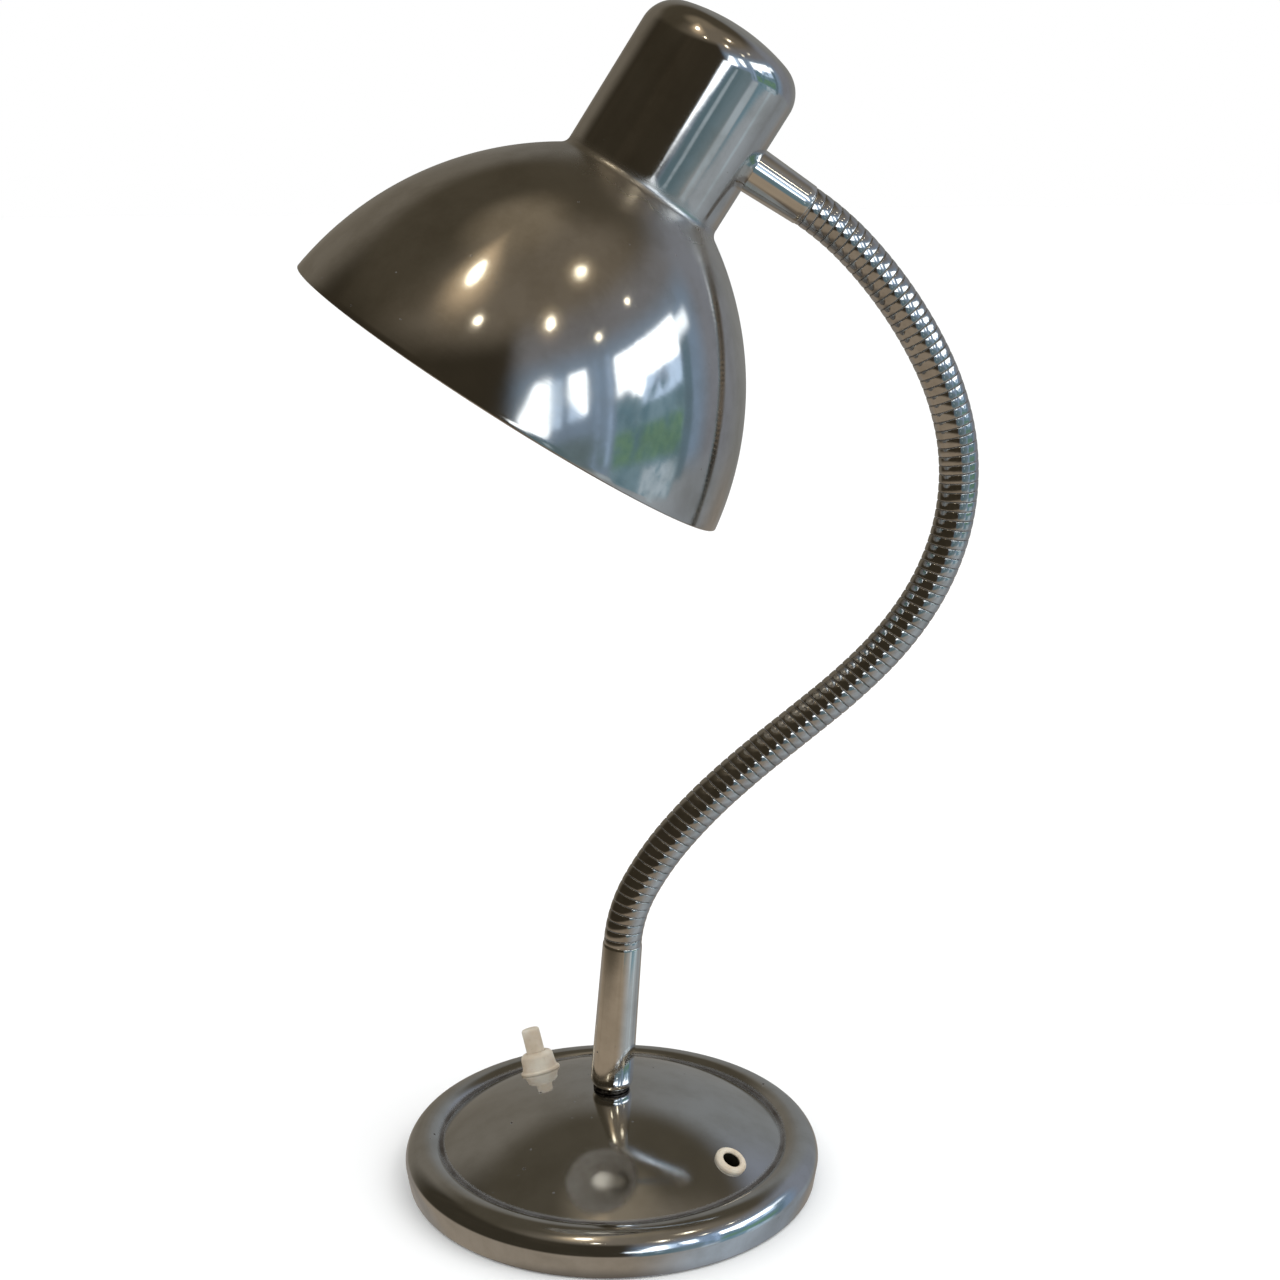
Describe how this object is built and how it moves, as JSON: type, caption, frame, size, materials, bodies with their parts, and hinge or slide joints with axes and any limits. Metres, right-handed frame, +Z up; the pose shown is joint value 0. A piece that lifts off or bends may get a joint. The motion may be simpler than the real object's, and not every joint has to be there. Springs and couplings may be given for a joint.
{
  "type": "gooseneck desk lamp",
  "caption": "Chromed desk lamp with a round domed base, a ribbed flexible neck, a spun bell shade and a push switch on the base.",
  "frame": {"origin": "centre of the base's felt underside, on the table", "axes": "+Z up; the neck bends in the XZ plane with its belly towards +X and the shade opening down towards -X"},
  "size_m": [0.2177, 0.1544, 0.3932],
  "materials": {
    "chrome": "polished, lightly worn",
    "neck_chrome": "polished ribs",
    "cast_iron": "as cast",
    "zinc_steel": "zinc plated",
    "spring_steel": "drawn wire",
    "felt": "felt",
    "white_plastic": "aged white, satin",
    "dark_plastic": "moulded",
    "brass": "plain",
    "porcelain": "glazed",
    "core_sheath": "matt",
    "flex_sheath": "matt",
    "bulb_metal": "rolled thread",
    "bulb_base_glass": "black glass with a solder spot",
    "bulb_glass": "opal"
  },
  "bodies": {
    "base": {"base_cover": "chrome", "base_weight": "cast_iron", "bottom_plate": "zinc_steel", "base_felt": "felt", "bottom_screws": "zinc_steel", "foot_ring": "chrome", "stem_nipple": "zinc_steel", "stem_washer": "zinc_steel", "stem_nut": "zinc_steel", "lower_ferrule": "chrome", "neck_01": "neck_chrome", "switch_bush": "white_plastic", "switch_nut": "zinc_steel", "switch_body": "dark_plastic", "switch_pins": "brass", "switch_spring": "spring_steel", "switch_leads": "core_sheath", "inlet_bush": "white_plastic", "inlet_nut": "zinc_steel", "terminal_block": "dark_plastic", "terminal_screws": "brass", "neck_flex": "flex_sheath"},
    "button": {"switch_plunger": "white_plastic", "contact_bridge": "brass"},
    "neck_02": {"neck_02": "neck_chrome"},
    "neck_03": {"neck_03": "neck_chrome"},
    "neck_04": {"neck_04": "neck_chrome"},
    "neck_05": {"neck_05": "neck_chrome"},
    "neck_06": {"neck_06": "neck_chrome"},
    "neck_07": {"neck_07": "neck_chrome"},
    "neck_08": {"neck_08": "neck_chrome"},
    "neck_09": {"neck_09": "neck_chrome"},
    "neck_10": {"neck_10": "neck_chrome"},
    "neck_11": {"neck_11": "neck_chrome"},
    "neck_12": {"neck_12": "neck_chrome"},
    "neck_13": {"neck_13": "neck_chrome"},
    "head": {"neck_14": "neck_chrome", "upper_ferrule": "chrome", "holder_nipple": "zinc_steel", "nipple_nut": "zinc_steel", "shade": "chrome", "holder_bracket": "zinc_steel", "holder_screws": "zinc_steel", "holder_terminals": "brass", "holder_body": "porcelain", "holder_shell": "brass", "holder_contact": "brass", "lamp_leads": "core_sheath", "bulb_cap": "bulb_metal", "bulb_contact": "bulb_base_glass", "bulb_glass": "bulb_glass"}
  },
  "joints": [
    {"name": "lower_bend", "type": "hinge", "parent": "base", "child": "neck_02", "pos_m": [0.01057, 0, 0.10623], "axis": [0, 1, 0], "range_deg": [-12, 12], "deforming": ["neck_flex"]},
    {"name": "lower_sway", "type": "hinge", "parent": "neck_02", "child": "neck_03", "pos_m": [0.02315, 0, 0.12412], "axis": [-0.7559, 0, 0.6547], "range_deg": [-12, 12]},
    {"name": "lower_bend_2", "type": "hinge", "parent": "neck_03", "child": "neck_04", "pos_m": [0.03847, 0, 0.13977], "axis": [0, 1, 0], "range_deg": [-12, 12]},
    {"name": "lower_sway_2", "type": "hinge", "parent": "neck_04", "child": "neck_05", "pos_m": [0.05524, 0, 0.15386], "axis": [-0.6157, 0, 0.788], "range_deg": [-12, 12]},
    {"name": "lower_bend_3", "type": "hinge", "parent": "neck_05", "child": "neck_06", "pos_m": [0.07244, 0, 0.16743], "axis": [0, 1, 0], "range_deg": [-12, 12]},
    {"name": "lower_sway_3", "type": "hinge", "parent": "neck_06", "child": "neck_07", "pos_m": [0.08881, 0, 0.18198], "axis": [-0.7046, 0, 0.7096], "range_deg": [-12, 12]},
    {"name": "upper_bend", "type": "hinge", "parent": "neck_07", "child": "neck_08", "pos_m": [0.10268, 0, 0.19889], "axis": [0, 1, 0], "range_deg": [-12, 12]},
    {"name": "upper_sway", "type": "hinge", "parent": "neck_08", "child": "neck_09", "pos_m": [0.11227, 0, 0.21852], "axis": [-0.9478, 0, 0.319], "range_deg": [-12, 12]},
    {"name": "upper_bend_2", "type": "hinge", "parent": "neck_09", "child": "neck_10", "pos_m": [0.11619, 0, 0.24], "axis": [0, 1, 0], "range_deg": [-12, 12]},
    {"name": "upper_sway_2", "type": "hinge", "parent": "neck_10", "child": "neck_11", "pos_m": [0.11387, 0, 0.26171], "axis": [-0.969, 0, -0.247], "range_deg": [-12, 12]},
    {"name": "upper_bend_3", "type": "hinge", "parent": "neck_11", "child": "neck_12", "pos_m": [0.10609, 0, 0.28214], "axis": [0, 1, 0], "range_deg": [-12, 12]},
    {"name": "upper_sway_3", "type": "hinge", "parent": "neck_12", "child": "neck_13", "pos_m": [0.09461, 0, 0.30078], "axis": [-0.81, 0, -0.5864], "range_deg": [-12, 12]},
    {"name": "upper_bend_4", "type": "hinge", "parent": "neck_13", "child": "head", "pos_m": [0.08052, 0, 0.31753], "axis": [0, 1, 0], "range_deg": [-12, 12]},
    {"name": "switch_push", "type": "slide", "parent": "base", "child": "button", "axis": [0.2155, -0.2759, -0.9367], "range_m": [0, 0.003], "stiffness_N_per_m": 450, "springref_m": -0.002, "deforming": ["switch_spring"]}
  ],
  "couplings": [
    {"joint": "lower_bend_2", "follows": "lower_bend", "ratio": 1},
    {"joint": "lower_sway_2", "follows": "lower_sway", "ratio": 1},
    {"joint": "lower_bend_3", "follows": "lower_bend", "ratio": 1},
    {"joint": "lower_sway_3", "follows": "lower_sway", "ratio": 1},
    {"joint": "upper_bend_2", "follows": "upper_bend", "ratio": 1},
    {"joint": "upper_sway_2", "follows": "upper_sway", "ratio": 1},
    {"joint": "upper_bend_3", "follows": "upper_bend", "ratio": 1},
    {"joint": "upper_sway_3", "follows": "upper_sway", "ratio": 1},
    {"joint": "upper_bend_4", "follows": "upper_bend", "ratio": 1}
  ]
}
